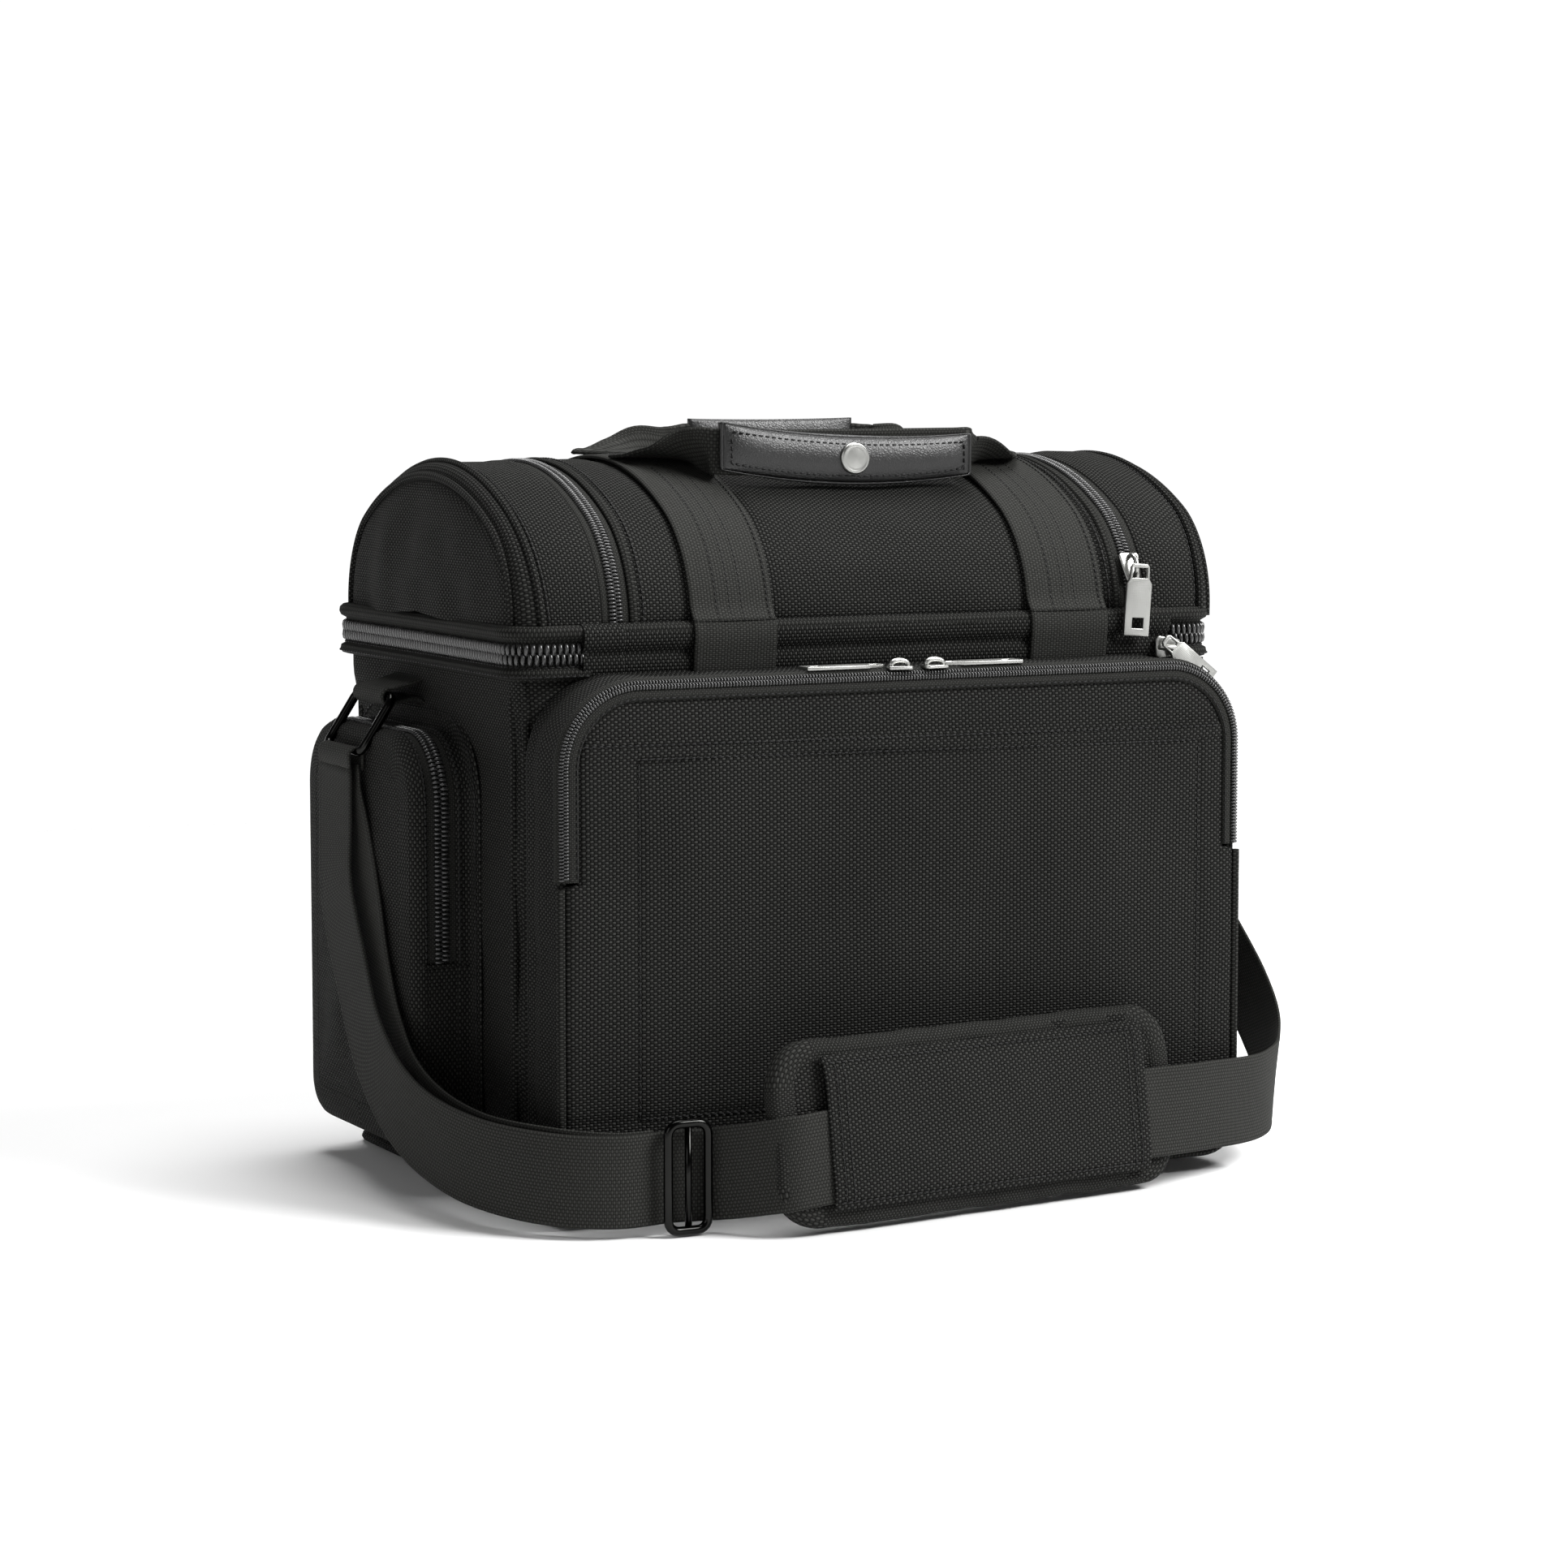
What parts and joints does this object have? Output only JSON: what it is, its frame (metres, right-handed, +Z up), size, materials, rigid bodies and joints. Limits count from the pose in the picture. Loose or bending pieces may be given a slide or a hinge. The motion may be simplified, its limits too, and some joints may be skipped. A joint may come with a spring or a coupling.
{
  "type": "flight bag",
  "caption": "Soft-sided flight crew bag with a hinged barrel-topped upper compartment, zipped outer pockets, carrying handles and a padded shoulder strap.",
  "frame": {"origin": "on the floor, under the middle of the box round the bag and its handles, without the free shoulder strap and what rides on it", "axes": "+X to the right along the bag as seen from its front, +Y to the back, +Z up; the front pocket faces -Y"},
  "size_m": [0.4424, 0.3166, 0.3521],
  "materials": {
    "ballistic_nylon": "coarse ballistic weave nylon, matt black",
    "lining": "smooth dark grey lining",
    "webbing": "flat woven webbing, black",
    "zip_tape": "black coil chain on ribbed tape",
    "leather": "smooth black leather, semi-gloss",
    "nickel": "satin nickel plate",
    "black_metal": "glossy black enamel",
    "base_board": "stiff plastic sheet"
  },
  "bodies": {
    "body": {"front_wall": "ballistic_nylon", "back_wall": "ballistic_nylon", "left_wall": "ballistic_nylon", "right_wall": "ballistic_nylon", "bottom_panel": "ballistic_nylon", "base_board": "base_board", "foot_front_left": "ballistic_nylon", "foot_front_right": "ballistic_nylon", "foot_back_left": "ballistic_nylon", "foot_back_right": "ballistic_nylon", "liner": "lining", "main_zip_lower": "zip_tape", "hinge_roll": "ballistic_nylon", "front_gusset": "ballistic_nylon", "front_zip": "zip_tape", "front_face_lower": "ballistic_nylon", "left_pocket_box": "ballistic_nylon", "right_pocket_box": "ballistic_nylon", "left_pocket_cover": "ballistic_nylon", "right_pocket_cover": "ballistic_nylon", "left_strap_tab": "webbing", "right_strap_tab": "webbing", "shoulder_strap": "webbing", "strap_tail": "webbing", "strap_slide": "black_metal"},
    "dome": {"dome_floor": "lining", "left_dome_end": "ballistic_nylon", "right_dome_end": "ballistic_nylon", "left_dome_gusset": "ballistic_nylon", "right_dome_gusset": "ballistic_nylon", "dome_back_strip": "ballistic_nylon", "dome_zip": "zip_tape", "main_zip_upper": "zip_tape"},
    "lid": {"dome_lid": "ballistic_nylon", "front_strip_left": "webbing", "front_strip_right": "webbing", "rear_strip_left": "webbing", "rear_strip_right": "webbing"},
    "front_handle": {"front_handle_webbing": "webbing", "front_handle_sleeve": "leather"},
    "handle_wrap": {"wrap_flap": "leather", "snap_cap": "nickel"},
    "rear_handle": {"rear_handle_webbing": "webbing", "rear_handle_sleeve": "leather"},
    "pocket_flap": {"front_flap": "ballistic_nylon"},
    "front_left_slider": {"front_left_slider": "nickel"},
    "front_left_pull": {"front_left_pull": "nickel"},
    "front_right_slider": {"front_right_slider": "nickel"},
    "front_right_pull": {"front_right_pull": "nickel"},
    "left_pocket_slider": {"left_pocket_slider": "nickel"},
    "left_pocket_pull": {"left_pocket_pull": "nickel"},
    "right_pocket_slider": {"right_pocket_slider": "nickel"},
    "right_pocket_pull": {"right_pocket_pull": "nickel"},
    "main_slider": {"main_slider": "nickel"},
    "main_pull": {"main_pull": "nickel"},
    "dome_slider": {"dome_slider": "nickel"},
    "dome_pull": {"dome_pull": "nickel"},
    "left_ring": {"left_strap_ring": "black_metal"},
    "right_ring": {"right_strap_ring": "black_metal"},
    "pad": {"shoulder_pad": "ballistic_nylon"}
  },
  "joints": [
    {"name": "dome_hinge", "type": "hinge", "parent": "body", "child": "dome", "pos_m": [0, -0.096, 0.25], "axis": [1, 0, 0], "range_deg": [0, 55]},
    {"name": "lid_hinge", "type": "hinge", "parent": "dome", "child": "lid", "pos_m": [0, -0.0939, 0.2622], "axis": [1, 0, 0], "range_deg": [0, 35]},
    {"name": "front_handle_fold", "type": "hinge", "parent": "lid", "child": "front_handle", "pos_m": [0, -0.0017, 0.3346], "axis": [-1, 0, 0], "range_deg": [0, 85]},
    {"name": "rear_handle_fold", "type": "hinge", "parent": "lid", "child": "rear_handle", "pos_m": [0, 0.0343, 0.3346], "axis": [1, 0, 0], "range_deg": [0, 85]},
    {"name": "handle_wrap_fold", "type": "hinge", "parent": "front_handle", "child": "handle_wrap", "pos_m": [0, -0.0492, 0.3242], "axis": [1, 0, 0], "range_deg": [0, 110]},
    {"name": "pocket_flap_fold", "type": "hinge", "parent": "body", "child": "pocket_flap", "pos_m": [0, -0.1272, 0.152], "axis": [1, 0, 0], "range_deg": [0, 85]},
    {"name": "front_left_zip", "type": "slide", "parent": "body", "child": "front_left_slider", "axis": [-1, 0, 0], "range_m": [0, 0.08]},
    {"name": "front_left_pull_swing", "type": "hinge", "parent": "front_left_slider", "child": "front_left_pull", "pos_m": [-0.013, -0.1202, 0.245], "axis": [0, 1, 0], "range_deg": [0, 170]},
    {"name": "front_right_zip", "type": "slide", "parent": "body", "child": "front_right_slider", "axis": [1, 0, 0], "range_m": [0, 0.08]},
    {"name": "front_right_pull_swing", "type": "hinge", "parent": "front_right_slider", "child": "front_right_pull", "pos_m": [0.013, -0.1202, 0.245], "axis": [0, -1, 0], "range_deg": [0, 170]},
    {"name": "left_pocket_zip", "type": "slide", "parent": "body", "child": "left_pocket_slider", "axis": [0, 0, 1], "range_m": [0, 0.045]},
    {"name": "left_pocket_pull_swing", "type": "hinge", "parent": "left_pocket_slider", "child": "left_pocket_pull", "pos_m": [-0.191, 0.1173, 0.124], "axis": [1, 0, 0], "range_deg": [0, 150]},
    {"name": "right_pocket_zip", "type": "slide", "parent": "body", "child": "right_pocket_slider", "axis": [0, 0, 1], "range_m": [0, 0.045]},
    {"name": "right_pocket_pull_swing", "type": "hinge", "parent": "right_pocket_slider", "child": "right_pocket_pull", "pos_m": [0.191, 0.1173, 0.124], "axis": [1, 0, 0], "range_deg": [0, 150]},
    {"name": "main_zip", "type": "slide", "parent": "body", "child": "main_slider", "axis": [1, 0, 0], "range_m": [0, 0.008]},
    {"name": "main_pull_swing", "type": "hinge", "parent": "main_slider", "child": "main_pull", "pos_m": [0.1475, -0.102, 0.246], "axis": [-0.5878, 0, -0.809], "range_deg": [0, 90]},
    {"name": "dome_zip_run", "type": "hinge", "parent": "dome", "child": "dome_slider", "pos_m": [0, -0.0332, 0.26], "axis": [-1, 0, 0], "range_deg": [0, 28]},
    {"name": "dome_pull_swing", "type": "hinge", "parent": "dome_slider", "child": "dome_pull", "pos_m": [0.1335, -0.0993, 0.283], "axis": [-1, 0, 0], "range_deg": [0, 150]},
    {"name": "left_ring_swing", "type": "hinge", "parent": "body", "child": "left_ring", "pos_m": [-0.194, 0.0463, 0.224], "axis": [0, 1, 0], "range_deg": [0, 90]},
    {"name": "right_ring_swing", "type": "hinge", "parent": "body", "child": "right_ring", "pos_m": [0.194, 0.0463, 0.224], "axis": [0, -1, 0], "range_deg": [0, 90]},
    {"name": "pad_slide", "type": "slide", "parent": "body", "child": "pad", "axis": [0.9914, 0.1305, 0], "range_m": [0, 0.012]}
  ]
}
